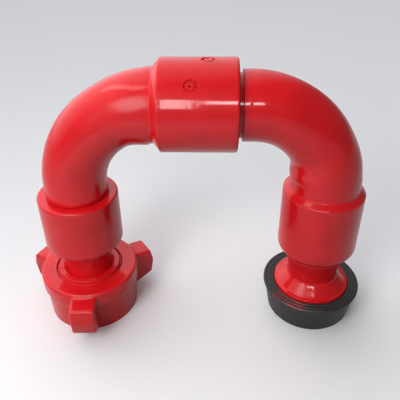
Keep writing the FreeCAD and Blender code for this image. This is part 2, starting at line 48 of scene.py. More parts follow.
# How finely the pieces are drawn: faces round a piece, stretches of an outline, degrees of a round
SIDES = 192
RING_STEP = 4.0
PLAIN_STEP = 20.0
ROUND_STEP = 11.0
BEND_STEP = 1.5
SMOOTH_ANGLE = 30.0
MERGE = 0.02
NO_LENGTH = 0.001

# The two legs and the level run, read from the frame
inlet_low, inlet_high = (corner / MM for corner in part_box("male_sub"))
outlet_low, outlet_high = (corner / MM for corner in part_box("female_sub"))
centre_low, centre_high = (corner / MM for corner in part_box("centre_packing_ring"))
INLET_X = (inlet_low.x + inlet_high.x) / 2
OUTLET_X = (outlet_low.x + outlet_high.x) / 2
LEVEL_Z = (centre_low.z + centre_high.z) / 2
INLET_BASE = (INLET_X, 0, 0)
OUTLET_BASE = (OUTLET_X, 0, 0)
LEVEL_BASE = (0, 0, LEVEL_Z)

# Elbows: radius of the bends, then of the pipe, its wide and swollen ends and its passage
BEND_RADIUS = 101.0
TIGHT_BEND = 92.0
BEND_LOW = LEVEL_Z - BEND_RADIUS
ELBOW = 38.0
WIDE_ELBOW = 39.2
HEEL = 41.8
HEEL_SINK = 1.2
BORE = 22.25

# Swivels: depths run inwards from a sleeve's mouth, and the rest are radii
ROWS = (15.4, 32.6, 49.8)
RACE = 35.7
GROOVE = 6.55
SPIGOT = 35.5
SPIGOT_END = 59.0
SPIGOT_CHAMFER = 1.5
SOCKET = 35.85
SOCKET_END = 59.3
SOCKET_CHAMFER = 0.8
PACKING = 31.5
PACKING_END = 70.0
SEAL_NEAR = 2.7
SEAL_FAR = 6.1
SEAL_FLOOR = 32.9
MOUTH_GAP = 4.5
INLET_GAP = 2.2

# Sleeves: mouth, back, heel and root of each along its own axis
INLET_MOUTH = inlet_high.z
CENTRE_MOUTH = 193.0
CENTRE_BACK = 108.2
CENTRE_HEEL = 100.8
CENTRE_ROOT = 96.0
OUTLET_MOUTH = 97.7
OUTLET_BACK = 186.2
OUTLET_HEEL = 192.2
ROOT_GAP = 4.0
OUTLET_ROOT = LEVEL_Z - TIGHT_BEND + ROOT_GAP
LEG_SLEEVE = 49.2
CENTRE_SLEEVE = 51.4

# Rounds of the edges and corners
EDGE = 0.6
ROOT_ROUND = 0.4
NECK_ROUND = 1.5
SHOULDER_ROUND = 0.8
HEEL_ROUND = 2.0
SLEEVE_ROUND = 3.0

# Ball ports and their plugs
PORT = 7.0
PLUG = 6.8
BOSS = 4.7

# Threads: radii, then the shape of a ridge as shares of the pitch
OUTLET_THREAD_ROOT = 43.3
OUTLET_THREAD_CREST = 47.6
NUT_THREAD_ROOT = 47.9
NUT_THREAD_CREST = 44.0
THREAD_PITCH = 25.4 / 3
RIDGE_FOOT = 0.33
RIDGE_TOP = 0.19
RIDGE_SINK = 0.6
RIDGE_SIDES = 96

# Runs and nibs of paint, each a point and a radius
INLET_RUNS = [((20.4, -44.6, 117.7), 1.3)]
LEFT_RUNS = [((5.5, -37.8, 230.1), 1.4), ((116.0, -46.3, 271.4), 1.2)]
RIGHT_RUNS = [((205.2, -35.2, 310.9), 1.5)]


# Drawing
def arc(centre, radius, first, last, steps=10):
    """Points of an arc from one angle to another, both in degrees."""
    points = []
    for step in range(steps + 1):
        angle = math.radians(first + (last - first) * step / steps)
        points.append((centre[0] + radius * math.cos(angle), centre[1] + radius * math.sin(angle)))
    return points


def rounded(corners):
    """An outline of (along, radius, round) corners, with each round as an arc."""
    points = []
    for number, corner in enumerate(corners):
        here = Vector(corner[:2])
        radius = corner[2] if len(corner) > 2 else 0.0
        if radius == 0 or number in (0, len(corners) - 1):
            points.append(here)
            continue
        back = Vector(corners[number - 1][:2]) - here
        ahead = Vector(corners[number + 1][:2]) - here
        half = back.angle(ahead) / 2
        start = here + back.normalized() * (radius / math.tan(half))
        between = (back.normalized() + ahead.normalized()).normalized()
        centre = here + between * radius / math.sin(half)
        spoke = start - centre
        turn = math.pi - 2 * half
        side = 1 if back.x * ahead.y - back.y * ahead.x < 0 else -1
        steps = max(2, math.ceil(math.degrees(turn) / ROUND_STEP))
        for step in range(steps + 1):
            points.append(centre + Matrix.Rotation(side * turn * step / steps, 2) @ spoke)
    return points


def spaced(points, step):
    """The same outline with no stretch longer than the step."""
    fine = [points[0]]
    for last, here in zip(points, points[1:]):
        parts = max(1, math.ceil((here - last).length / step))
        for part in range(1, parts + 1):
            fine.append(last.lerp(here, part / parts))
    return fine


def start_point(name):
    """A new mesh in edit mode that holds one selected point at the origin."""
    bpy.ops.object.select_all(action="DESELECT")
    bpy.ops.mesh.primitive_plane_add(size=MM)
    piece = bpy.context.object
    piece.name = name
    piece.data.name = name
    bpy.ops.object.mode_set(mode="EDIT")
    bpy.ops.mesh.select_all(action="SELECT")
    bpy.ops.mesh.merge(type="CENTER")
    return piece


def draw_outline(name, points):
    """An open chain of edges through the points, left in edit mode with all selected."""
    piece = start_point(name)
    bpy.ops.transform.translate(value=points[0])
    for last, here in zip(points, points[1:]):
        bpy.ops.mesh.extrude_region_move(TRANSFORM_OT_translate={"value": here - last})
    bpy.ops.mesh.select_all(action="SELECT")
    return piece


def draw_face(name, points):
    """One face whose outline is the points, left in edit mode with all selected."""
    piece = draw_outline(name, points + points[:1])
    bpy.ops.mesh.remove_doubles(threshold=MERGE * MM)
    bpy.ops.mesh.select_all(action="SELECT")
    bpy.ops.mesh.edge_face_add()
    bpy.ops.mesh.select_all(action="SELECT")
    return piece


def placed(axis, base, along, radius):
    """A point of an outline in the frame, in metres."""
    if axis == "Z":
        return Vector((base[0] + radius, base[1], base[2] + along)) * MM
    return Vector((base[0] + along, base[1], base[2] + radius)) * MM


def turned(name, axis, base, corners, closed=True, step=RING_STEP):
    """A turned piece: its outline spun once about its axis, closed or open at the axis."""
    outline = spaced(rounded(corners), step)
    if closed:
        outline.append(outline[0])
    piece = draw_outline(name, [placed(axis, base, *point) for point in outline])
    direction = (0, 0, 1) if axis == "Z" else (1, 0, 0)
    bpy.ops.mesh.spin(steps=SIDES, angle=math.tau, center=Vector(base) * MM, axis=direction)
    close_up()
    return piece


def close_up():
    """Merge the seam and turn every face outwards, then leave edit mode."""
    bpy.ops.mesh.select_all(action="SELECT")
    bpy.ops.mesh.remove_doubles(threshold=MERGE * MM)
    bpy.ops.mesh.dissolve_degenerate(threshold=NO_LENGTH * MM)
    bpy.ops.mesh.select_all(action="SELECT")
    bpy.ops.mesh.normals_make_consistent(inside=False)
    bpy.ops.mesh.select_all(action="DESELECT")
    bpy.ops.object.mode_set(mode="OBJECT")


def only(piece):
    """Select one piece and make it the active one."""
    bpy.ops.object.select_all(action="DESELECT")
    piece.select_set(True)
    bpy.context.view_layer.objects.active = piece


def bake_place():
    """Put the selected piece's place and turn into its mesh."""
    bpy.ops.object.transform_apply(location=True, rotation=True, scale=True)


def joined(name, pieces):
    """One mesh of several."""
    bpy.ops.object.select_all(action="DESELECT")
    for piece in pieces:
        piece.select_set(True)
    bpy.context.view_layer.objects.active = pieces[0]
    bpy.ops.object.join()
    whole = bpy.context.object
    whole.name = name
    whole.data.name = name
    return whole


def copied(piece, name, place):
    """A copy with its own mesh, whose place goes into the mesh."""
    only(piece)
    bpy.ops.object.duplicate(linked=False)
    twin = bpy.context.object
    twin.name = name
    twin.data.name = name
    twin.matrix_world = place
    bake_place()
    return twin


def apply_all(piece):
    """Apply every modifier of a piece, in order."""
    only(piece)
    for modifier in [m.name for m in piece.modifiers]:
        bpy.ops.object.modifier_apply(modifier=modifier)


def combine(piece, tool, operation):
    """Cut a tool out of a piece, or add it, and remove the tool."""
    modifier = piece.modifiers.new("combine", "BOOLEAN")
    modifier.operation = operation
    modifier.solver = "MANIFOLD"
    modifier.object = tool
    apply_all(piece)
    bpy.data.objects.remove(tool, do_unlink=True)


# Walls of a swivel; out is the way that the sleeve's mouth looks along its axis
def groove_arc(along, middle, radius, wall, inside):
    """Points of a round groove in a straight wall that looks inwards or outwards."""
    half = math.degrees(math.asin((wall - middle) / radius))
    return arc((along, middle), radius, 180 - half, half if inside else 360 + half)


def races(mouth, out, wall, inside):
    """The ball races of a wall, in the order in which its outline meets them."""
    points = []
    for depth in ROWS:
        race = groove_arc(mouth - out * depth, RACE, GROOVE, wall, inside)
        points += race if out < 0 else race[::-1]
    return points


def socket_wall(mouth, out):
    """Inside of a sleeve, from its mouth to the bore's shoulder."""
    end = mouth - out * SOCKET_END
    packing = mouth - out * PACKING_END
    wall = [(mouth, SOCKET + SOCKET_CHAMFER), (mouth - out * SOCKET_CHAMFER, SOCKET)]
    wall += races(mouth, out, SOCKET, inside=True)
    return wall + [(end, SOCKET), (end, PACKING), (packing, PACKING), (packing, BORE)]


def spigot_wall(mouth, out, gap=MOUTH_GAP):
    """Outside of a spigot, from its shoulder to its chamfered end and bore."""
    near = mouth - out * SEAL_NEAR
    far = mouth - out * SEAL_FAR
    end = mouth - out * SPIGOT_END
    wall = [(mouth + out * gap, SPIGOT, ROOT_ROUND), (near, SPIGOT), (near, SEAL_FLOOR)]
    wall += [(far, SEAL_FLOOR), (far, SPIGOT)]
    wall += races(mouth, out, SPIGOT, inside=False)
    wall += [(end + out * SPIGOT_CHAMFER, SPIGOT), (end, SPIGOT - SPIGOT_CHAMFER), (end, BORE)]
    return wall


def ports(mouth, out, axis, base, angles):
    """Frames of a swivel's ball ports: at the race circle, with Z pointing outwards."""
    places = []
    for depth, angle in zip(ROWS, angles):
        swing = math.radians(angle)
        along = mouth - out * depth
        if axis == "Z":
            outward = Vector((math.cos(swing), math.sin(swing), 0))
            centre = Vector((base[0], base[1], base[2] + along))
        else:
            outward = Vector((0, math.sin(swing), math.cos(swing)))
            centre = Vector((base[0] + along, base[1], base[2]))
        turn = outward.to_track_quat("Z", "Y").to_matrix().to_4x4()
        places.append(Matrix.Translation((centre + outward * RACE) * MM) @ turn)
    return places


SWIVELS = {
    "left": {
        "ports": ports(INLET_MOUTH, 1, "Z", INLET_BASE, (45, 90, 135)),
        "sleeve": LEG_SLEEVE,
        "sleeve_body": "inlet_sub",
    },
    "centre": {
        "ports": ports(CENTRE_MOUTH, 1, "X", LEVEL_BASE, (45, 0, -45)),
        "sleeve": CENTRE_SLEEVE,
        "sleeve_body": "left_elbow",
    },
    "right": {
        "ports": ports(OUTLET_MOUTH, -1, "Z", OUTLET_BASE, (135, 90, 45)),
        "sleeve": LEG_SLEEVE,
        "sleeve_body": "right_elbow",
    },
}


def cut_ports(piece, swivel):
    """Bore the three ball ports of a sleeve, each with a small bevel at its mouth."""
    bevel = 0.9
    beyond = 2.0
    skin = SWIVELS[swivel]["sleeve"] - RACE
    end = skin + beyond
    outline = [(0, 0), (0, PORT), (skin - bevel, PORT), (end, PORT + bevel + beyond), (end, 0)]
    for number, place in enumerate(SWIVELS[swivel]["ports"]):
        name = f"{swivel}_drill_{number}"
        drill = turned(name, "Z", (0, 0, 0), outline, closed=False, step=PLAIN_STEP)
        drill.matrix_world = place
        combine(piece, drill, "DIFFERENCE")


def add_runs(piece, runs):
    """Add small runs and nibs of paint to a painted piece."""
    for point, radius in runs:
        bpy.ops.object.select_all(action="DESELECT")
        bpy.ops.mesh.primitive_ico_sphere_add(
            subdivisions=2, radius=radius * MM, location=Vector(point) * MM
        )
        nib = bpy.context.object
        bake_place()
        combine(piece, nib, "UNION")


# Elbows; side is +1 where the bend turns towards +X and -1 where it turns towards -X
def bend_centre(base_x, side, radius):
    """Centre of the quarter bend between a leg and the level run, in metres."""
    return Vector((base_x + side * radius, 0, LEVEL_Z - radius)) * MM


def bend(name, pipe, base_x, side, first, last, radius=BEND_RADIUS):
    """A bend's skin between two angles: a circle spun about the bend's centre."""
    centre = bend_centre(base_x, side, radius)
    foot = Vector((base_x, 0, LEVEL_Z - radius)) * MM
    bpy.ops.object.select_all(action="DESELECT")
    bpy.ops.mesh.primitive_circle_add(vertices=SIDES, radius=pipe * MM, location=foot)
    piece = bpy.context.object
    piece.name = name
    bake_place()
    turn = Matrix.Rotation(math.radians(side * first), 4, "Y")
    piece.matrix_world = Matrix.Translation(centre) @ turn @ Matrix.Translation(-centre)
    bake_place()
    bpy.ops.object.mode_set(mode="EDIT")
    bpy.ops.mesh.select_all(action="SELECT")
    bpy.ops.mesh.spin(
        steps=round((last - first) / BEND_STEP),
        angle=math.radians(last - first),
        center=centre,
        axis=(0, -side, 0),
    )
    bpy.ops.object.mode_set(mode="OBJECT")
    return piece


def select_ring(piece, centre, across):
    """Go to edit mode with one ring of a bend selected, the one square to the given way."""
    thin = 0.2 * MM
    only(piece)
    bpy.ops.object.mode_set(mode="EDIT")
    bpy.ops.mesh.select_all(action="DESELECT")
    bpy.ops.object.mode_set(mode="OBJECT")
    for point in piece.data.vertices:
        point.select = abs((point.co - centre).dot(across)) < thin
    bpy.ops.object.mode_set(mode="EDIT")


def swell(piece, base_x, side, radius, first, last, widest, sink=0.0):
    """Widen a bend's rings smoothly between two angles, and sink them to its inside."""
    centre = bend_centre(base_x, side, radius)
    rings = round(abs(last - first) / BEND_STEP)
    for number in range(1, rings + 1):
        part = number / rings
        share = part * part * (3 - 2 * part)
        angle = math.radians(first + (last - first) * number / rings)
        outward = Vector((-side * math.cos(angle), 0, math.sin(angle)))
        across = Vector((side * math.sin(angle), 0, math.cos(angle)))
        middle = centre + outward * radius * MM
        wider = 1 + (widest / ELBOW - 1) * share
        select_ring(piece, centre, across)
        bpy.ops.transform.resize(value=(wider, wider, wider), center_override=middle)
        bpy.ops.transform.translate(value=-outward * sink * share * MM)
        bpy.ops.object.mode_set(mode="OBJECT")


def bridge_skin(piece):
    """Bridge the two open rims that are left in the elbow's outer skin."""
    only(piece)
    bpy.ops.object.mode_set(mode="EDIT")
    bpy.ops.mesh.select_all(action="SELECT")
    bpy.ops.mesh.remove_doubles(threshold=MERGE * MM)
    bpy.ops.mesh.select_all(action="DESELECT")
    bpy.ops.mesh.select_non_manifold(use_non_contiguous=False)
    bpy.ops.mesh.bridge_edge_loops()
    close_up()


def make_left_elbow():
    """The left elbow: a spigot below, and the centre sleeve at its far end."""
    swell_start, last_ring = 58.5, 84.0
    leg = [(BEND_LOW, ELBOW), (INLET_MOUTH + INLET_GAP, ELBOW, SHOULDER_ROUND)]
    leg += spigot_wall(INLET_MOUTH, 1, INLET_GAP)
    leg.append((BEND_LOW, BORE))
    sleeve = [(CENTRE_ROOT, HEEL), (CENTRE_HEEL, HEEL, HEEL_ROUND)]
    sleeve += [(CENTRE_BACK, CENTRE_SLEEVE, SLEEVE_ROUND), (CENTRE_MOUTH, CENTRE_SLEEVE, SLEEVE_ROUND)]
    sleeve += socket_wall(CENTRE_MOUTH, 1)
    sleeve.append((INLET_X + BEND_RADIUS, BORE))
    skin = bend("left_bend", ELBOW, INLET_X, 1, 0, last_ring)
    swell(skin, INLET_X, 1, BEND_RADIUS, swell_start, last_ring, HEEL, HEEL_SINK)
    parts = [
        turned("left_spigot", "Z", INLET_BASE, leg, closed=False),
        turned("centre_sleeve", "X", LEVEL_BASE, sleeve, closed=False),
        skin,
        bend("left_bore", BORE, INLET_X, 1, 0, 90),
    ]
    piece = joined("left_elbow_forging", parts)
    bridge_skin(piece)
    cut_ports(piece, "centre")
    add_runs(piece, LEFT_RUNS)
    return piece


def make_right_elbow():
    """The right elbow: a spigot in the centre sleeve, and its own sleeve at its foot."""
    first_ring, swell_start, wide_start = 7.5, 31.5, 60.0
    bevel_top, knee_height, bevel_round = 108.2, 103.7, 12.0
    knee, mouth, mouth_round = 47.6, 42.2, 1.2
    sleeve = [
        (OUTLET_ROOT, HEEL),
        (OUTLET_HEEL, HEEL, HEEL_ROUND),
        (OUTLET_BACK, LEG_SLEEVE, SLEEVE_ROUND),
        (bevel_top, LEG_SLEEVE, bevel_round),
        (knee_height, knee, bevel_round),
        (OUTLET_MOUTH, mouth, mouth_round),
    ]
    sleeve += socket_wall(OUTLET_MOUTH, -1)
    sleeve.append((BEND_LOW, BORE))
    level = [(OUTLET_X - TIGHT_BEND, WIDE_ELBOW)]
    level.append((CENTRE_MOUTH + MOUTH_GAP, WIDE_ELBOW, SHOULDER_ROUND))
    level += spigot_wall(CENTRE_MOUTH, 1)
    level.append((OUTLET_X - BEND_RADIUS, BORE))
    skin = bend("right_bend", ELBOW, OUTLET_X, -1, first_ring, 90, TIGHT_BEND)
    swell(skin, OUTLET_X, -1, TIGHT_BEND, swell_start, first_ring, HEEL, HEEL_SINK)
    swell(skin, OUTLET_X, -1, TIGHT_BEND, wide_start, 90, WIDE_ELBOW)
    parts = [
        turned("outlet_sleeve", "Z", OUTLET_BASE, sleeve, closed=False),
        turned("centre_spigot", "X", LEVEL_BASE, level, closed=False),
        skin,
        bend("right_bore", BORE, OUTLET_X, -1, 0, 90),
    ]
    piece = joined("right_elbow_forging", parts)
    bridge_skin(piece)
    cut_ports(piece, "right")
    add_runs(piece, RIGHT_RUNS)
    return piece


# Subs
def make_inlet_sub():
    """The inlet sub: nose and collar that the nut pulls on, neck, and the left sleeve."""
    nose, nose_top = 27.5, 12.5
    collar, collar_top = 40.0, 20.0
    neck, taper_foot, taper_top = 29.5, 99.2, 109.2
    taper_round = 5.0
    corners = [
        (0, BORE),
        (0, nose, EDGE),
        (nose_top, collar, EDGE),
        (collar_top, collar, SHOULDER_ROUND),
        (collar_top, neck, NECK_ROUND),
        (taper_foot, neck, taper_round),
        (taper_top, LEG_SLEEVE, taper_round),
        (INLET_MOUTH, LEG_SLEEVE, SLEEVE_ROUND),
    ]
    piece = turned("inlet_sub_forging", "Z", INLET_BASE, corners + socket_wall(INLET_MOUTH, 1))
    cut_ports(piece, "left")
    add_runs(piece, INLET_RUNS)
    return piece


def thread_ridge(name, base, low, high, root, crest):
    """One closed ridge of an acme thread that climbs from low to high."""
    foot = RIDGE_FOOT * THREAD_PITCH
    top = RIDGE_TOP * THREAD_PITCH
    sunk = root - RIDGE_SINK if crest > root else root + RIDGE_SINK
    section = [(-foot, sunk), (-foot, root), (-top, crest), (top, crest), (foot, root), (foot, sunk)]
    corners = [placed("Z", base, low + foot + along, radius) for along, radius in section]
    piece = draw_face(name, corners)
    turns = (high - low - 2 * foot) / THREAD_PITCH
    steps = round(RIDGE_SIDES * turns)
    for _ in range(steps):
        bpy.ops.mesh.extrude_region_move(
            TRANSFORM_OT_translate={"value": (0, 0, THREAD_PITCH * turns / steps * MM)}
        )
        bpy.ops.transform.rotate(
            value=-math.tau * turns / steps,
            orient_axis="Z",
            center_override=Vector(base) * MM,
        )
    close_up()
    return piece


def make_outlet_sub():
    """The outlet sub: spigot, waisted neck, hub, thread, and the seat with its seal pocket."""
    shoulder = 36.5
    waist, waist_top, waist_foot = 32.4, 70.0, 58.6
    cone, cone_foot = 44.8, 46.2
    hub, hub_top, hub_foot, hub_round = 48.6, 45.25, 37.0, 1.2
    seat, face = 40.0, 5.3
    pocket, pocket_foot, pocket_top = 33.0, 13.3, 24.3
    corners = [
        (OUTLET_MOUTH - MOUTH_GAP, shoulder, SHOULDER_ROUND),
        (waist_top, waist, 12.0),
        (waist_foot, waist, 5.0),
        (cone_foot, cone, hub_round),
        (hub_top, hub, hub_round),
        (hub_foot, hub, 0.5),
        (hub_foot, OUTLET_THREAD_ROOT),
        (face, OUTLET_THREAD_ROOT, 1.0),
        (face, seat, EDGE),
        (pocket_foot, pocket),
        (pocket_top, pocket),
        (pocket_top, BORE),
        (OUTLET_MOUTH + SPIGOT_END, BORE),
    ]
    wall = spigot_wall(OUTLET_MOUTH, -1)[:-1]
    piece = turned("outlet_sub_forging", "Z", OUTLET_BASE, corners + wall[::-1])
    low, high = 6.5, 36.0
    ridge = thread_ridge(
        "outlet_thread", OUTLET_BASE, low, high, OUTLET_THREAD_ROOT, OUTLET_THREAD_CREST
    )
    combine(piece, ridge, "UNION")
    return piece


# Nut and its segments
LUG_ANGLES = (274, 34, 154)
SEGMENT_SPLIT = 322
SEGMENT_TURN = 120
SPLIT_GAP = 0.6


def make_lug():
    """One hammer lug along +X: its outline pulled to its width, then bevelled twice."""
    width, root, near = 32.0, 50.0, 0.01
    outline = [(root, 60), (60.5, 60), (85, 58), (89, 41), (85, 20), (60.2, 10), (root, 10)]
    piece = draw_face("lug", [Vector((across, -width / 2, up)) * MM for across, up in outline])
    bpy.ops.mesh.extrude_region_move(TRANSFORM_OT_translate={"value": (0, width * MM, 0)})
    bpy.ops.mesh.select_all(action="SELECT")
    bpy.ops.mesh.normals_make_consistent(inside=False)
    bpy.ops.mesh.select_mode(type="EDGE")
    bpy.ops.mesh.bevel(offset=3.5 * MM, segments=4, affect="EDGES")
    bpy.ops.mesh.select_all(action="DESELECT")
    bpy.ops.object.mode_set(mode="OBJECT")
    for edge in piece.data.edges:
        ends = [piece.data.vertices[index].co / MM for index in edge.vertices]
        flat = all(abs(abs(end.y) - width / 2) < near for end in ends)
        same_side = abs(ends[0].y - ends[1].y) < near
        edge.select = flat and same_side and max(end.x for end in ends) > root + 1
    bpy.ops.object.mode_set(mode="EDIT")
    bpy.ops.mesh.bevel(offset=3.0 * MM, segments=4, affect="EDGES")
    bpy.ops.mesh.select_mode(type="VERT")
    close_up()
    return piece


def make_wing_nut():
    """A casting with three lugs, blended where they meet, then bored, faced and threaded."""
    foot, step, step_top, step_round = 58.9, 60.2, 40.7, 3.0
    rim, rim_foot, rim_round = 63.5, 44.0, 3.2
    height, spare = 64.0, 2.0
    outline = [(-spare, 0), (-spare, foot), (step_top, step, step_round)]
    outline += [(rim_foot, rim, NECK_ROUND), (height, rim, rim_round), (height, 0)]
    barrel = turned("nut_barrel", "Z", INLET_BASE, outline, closed=False)
    lug = make_lug()
    centre = Matrix.Translation(Vector(INLET_BASE) * MM)
    lugs = []
    for number, angle in enumerate(LUG_ANGLES):
        place = centre @ Matrix.Rotation(math.radians(angle), 4, "Z")
        lugs.append(copied(lug, f"lug_{number}", place))
    bpy.data.objects.remove(lug, do_unlink=True)
    for copy in lugs:
        combine(barrel, copy, "UNION")
    casting = barrel.modifiers.new("casting", "REMESH")
    casting.mode = "VOXEL"
    casting.voxel_size = 1.2 * MM
    softened = barrel.modifiers.new("soft", "SMOOTH")
    softened.factor = 0.5
    softened.iterations = 5
    apply_all(barrel)
    below, above = -9.0, 80.0
    ledge, hole = 46.0, 41.3
    counterbore, counterbore_foot = 44.0, 59.0
    bore = [(below, 0), (below, above), (0, above), (0, NUT_THREAD_ROOT), (ledge, NUT_THREAD_ROOT)]
    bore += [(ledge, hole), (counterbore_foot, hole), (counterbore_foot, counterbore)]
    bore += [(above, counterbore), (above, 0)]
    cutter = turned("nut_bore", "Z", INLET_BASE, bore, closed=False, step=PLAIN_STEP)
    combine(barrel, cutter, "DIFFERENCE")
    low, high = 1.5, 36.0
    ridge = thread_ridge("nut_thread", INLET_BASE, low, high, NUT_THREAD_ROOT, NUT_THREAD_CREST)
    combine(barrel, ridge, "UNION")
    return barrel


def make_collar():
    """The whole collar that the segments are cut from, with its groove for the wire ring."""
    bore, trunk, flange = 29.85, 40.95, 46.5
    bottom, flange_top, top = 37.7, 45.7, 66.5
    wire_height, wire = 61.1, 1.95
    crown, crown_foot, crown_round = 40.0, 64.5, 1.0
    countersink, countersink_foot = 34.0, 64.0
    corners = [
        (bottom, bore, ROOT_ROUND),
        (bottom, flange, EDGE),
        (flange_top, flange, EDGE),
        (flange_top, trunk, ROOT_ROUND),
        *groove_arc(wire_height, trunk, wire, trunk, inside=False),
        (crown_foot, trunk, crown_round),
        (top, crown, SHOULDER_ROUND),
        (top, countersink, EDGE),
        (countersink_foot, bore, EDGE),
    ]
    return turned("segment_collar", "Z", INLET_BASE, corners)


def make_segments():
    """The three segments by node, cut from one collar by planes beside its axis."""
    collar = make_collar()
    segments = {}
    for number in range(3):
        node = f"nut_segment_{number + 1}"
        piece = copied(collar, f"{node}_casting", Matrix())
        start = SEGMENT_SPLIT + SEGMENT_TURN * number
        only(piece)
        bpy.ops.object.mode_set(mode="EDIT")
        for angle, keep in ((start, 1), (start + SEGMENT_TURN, -1)):
            swing = math.radians(angle)
            normal = Vector((-math.sin(swing), math.cos(swing), 0)) * keep
            bpy.ops.mesh.select_all(action="SELECT")
            bpy.ops.mesh.bisect(
                plane_co=(Vector(INLET_BASE) + normal * SPLIT_GAP) * MM,
                plane_no=normal,
                use_fill=True,
                clear_inner=True,
            )
        close_up()
        segments[node] = piece
    bpy.data.objects.remove(collar, do_unlink=True)
    return segments


def make_protector():
    """The rubber protector: a cup over the outlet thread, with two grooves in its lip."""
    foot, body, lip = 54.5, 61.0, 63.2
    lip_foot, top = 38.0, 43.0
    groove, groove_depth = 0.7, 0.7
    hub_seat, thread_seat = 48.9, 47.9
    seat_floor, cup_floor = 36.7, 5.0
    corners = [(0, 0), (0, foot, 2.0), (lip_foot, body, 1.2), (lip_foot, lip, 1.5), (top, lip, 1.8)]
    for ring in (58.6, 53.6):
        corners.append((top, ring + groove, 0.3))
        corners.append((top - groove_depth, ring, 0.5))
        corners.append((top, ring - groove, 0.3))
    corners += [(top, hub_seat, 1.2), (seat_floor, hub_seat), (seat_floor, thread_seat)]
    corners += [(cup_floor, thread_seat), (cup_floor, 0)]
    return turned("thread_protector_moulding", "Z", OUTLET_BASE, corners, closed=False)


# Plugs
def plug_outline(skin):
    """A ball plug from its foot at the race to its boss, with a blind pulling hole."""
    foot = GROOVE + 0.2
    shoulder = skin - 2.8
    top = skin - 0.5
    hole, hole_floor = 1.3, top - 3.5
    return [
        (foot, 0),
        (foot, PLUG, 0.5),
        (shoulder, PLUG, 0.2),
        (shoulder, BOSS, 0.2),
        (top, BOSS, 0.7),
        (top, hole, 0.5),
        (hole_floor, hole),
        (hole_floor, 0),
    ]


def plug_ring_outline(skin):
    """The retaining ring that lies on a plug's shoulder, round its boss."""
    floor = skin - 2.8
    top = floor + 1.2
    inner, ring_round = BOSS + 0.2, 0.3
    return [(floor, inner), (floor, PLUG, ring_round), (top, PLUG, ring_round), (top, inner, ring_round)]


def make_port_pieces(swivel, part, outline, closed):
    """One piece for each ball port of a swivel, joined in one mesh."""
    name = f"{swivel}_{part}"
    one = turned(name, "Z", (0, 0, 0), outline, closed=closed, step=PLAIN_STEP)
    copies = []
    for number, place in enumerate(SWIVELS[swivel]["ports"]):
        copies.append(copied(one, f"{name}_{number}", place))
    bpy.data.objects.remove(one, do_unlink=True)
    return joined(f"{name}s_turned", copies)


# Finishes
def new_finish(name):
    """A fresh material with its node tree and its shader."""
    material = bpy.data.materials.new(name)
    material.use_nodes = True
    tree = material.node_tree
    return material, tree, tree.nodes["Principled BSDF"]


def grain(tree, scale, stretch=(1, 1, 1), detail=3.0):
    """Noise on the piece's own coordinates; scale counts the grains in a metre."""
    place = tree.nodes.new("ShaderNodeTexCoord")
    pull = tree.nodes.new("ShaderNodeMapping")
    pull.inputs["Scale"].default_value = stretch
    noise = tree.nodes.new("ShaderNodeTexNoise")
    noise.inputs["Scale"].default_value = scale
    noise.inputs["Detail"].default_value = detail
    tree.links.new(place.outputs["Object"], pull.inputs["Vector"])
    tree.links.new(pull.outputs["Vector"], noise.inputs["Vector"])
    return noise.outputs["Fac"]


def spread(tree, source, low, high, first=0.3, last=0.7):
    """Values from first to last brought to the range from low to high."""
    ranged = tree.nodes.new("ShaderNodeMapRange")
    ranged.inputs["From Min"].default_value = first
    ranged.inputs["From Max"].default_value = last
    ranged.inputs["To Min"].default_value = low
    ranged.inputs["To Max"].default_value = high
    tree.links.new(source, ranged.inputs["Value"])
    return ranged.outputs["Result"]


def reckon(tree, operation, *terms):
    """A sum on values of the tree and plain numbers."""
    node = tree.nodes.new("ShaderNodeMath")
    node.operation = operation
    for entry, term in zip(node.inputs, terms):
        if isinstance(term, float):
            entry.default_value = term
        else:
            tree.links.new(term, entry)
    return node.outputs[0]


def blend(tree, share, one, other):
    """A colour between two others."""
    mix = tree.nodes.new("ShaderNodeMix")
    mix.data_type = "RGBA"
    for socket, colour in (("A", one), ("B", other)):
        entry = [s for s in mix.inputs if s.name == socket and s.type == "RGBA"][0]
        if isinstance(colour, tuple):
            entry.default_value = (*colour, 1)
        else:
            tree.links.new(colour, entry)
    factor = [s for s in mix.inputs if s.name == "Factor" and s.type == "VALUE"][0]
    tree.links.new(share, factor)
    return [s for s in mix.outputs if s.type == "RGBA"][0]


def raised(tree, layers):
    """Bumps laid over each other, each a (height, millimetres) pair."""
    normal = None
    for height, depth in layers:
        bump = tree.nodes.new("ShaderNodeBump")
        bump.inputs["Strength"].default_value = 1.0
        bump.inputs["Distance"].default_value = depth * MM
        tree.links.new(height, bump.inputs["Height"])
        if normal:
            tree.links.new(normal, bump.inputs["Normal"])
        normal = bump.outputs["Normal"]
    return normal


# What lies under the enamel, each as (grains in a metre, stretch, millimetres)
EVEN = (1, 1, 1)
PEEL = (420, EVEN, 0.012)
FORGING_WAVES = (38, EVEN, 0.35)
TURNED_SKIN = (60, EVEN, 0.05)
UPRIGHT_RINGS = (14, (1, 1, 22), 0.06)
LEVEL_RINGS = (14, (22, 1, 1), 0.08)
CASTING_SWELLS = (60, EVEN, 0.35)
CASTING_SAND = (260, EVEN, 0.08)

ENAMEL_RED = (0.72, 0.007, 0.012)
ENAMEL_DEEP = (0.60, 0.004, 0.008)


def enamel(name, layers):
    """Red enamel over steel, with the layers of what lies under it."""
    material, tree, shader = new_finish(name)
    thick = spread(tree, grain(tree, 22), 0, 1)
    tree.links.new(blend(tree, thick, ENAMEL_RED, ENAMEL_DEEP), shader.inputs["Base Color"])
    shader.inputs["Roughness"].default_value = 0.42
    shader.inputs["Specular IOR Level"].default_value = 0.05
    shader.inputs["Coat Weight"].default_value = 0.6
    shader.inputs["Coat Roughness"].default_value = 0.09
    under = raised(tree, [(grain(tree, scale, stretch), depth) for scale, stretch, depth in layers])
    tree.links.new(under, shader.inputs["Normal"])
    tree.links.new(under, shader.inputs["Coat Normal"])
    return material


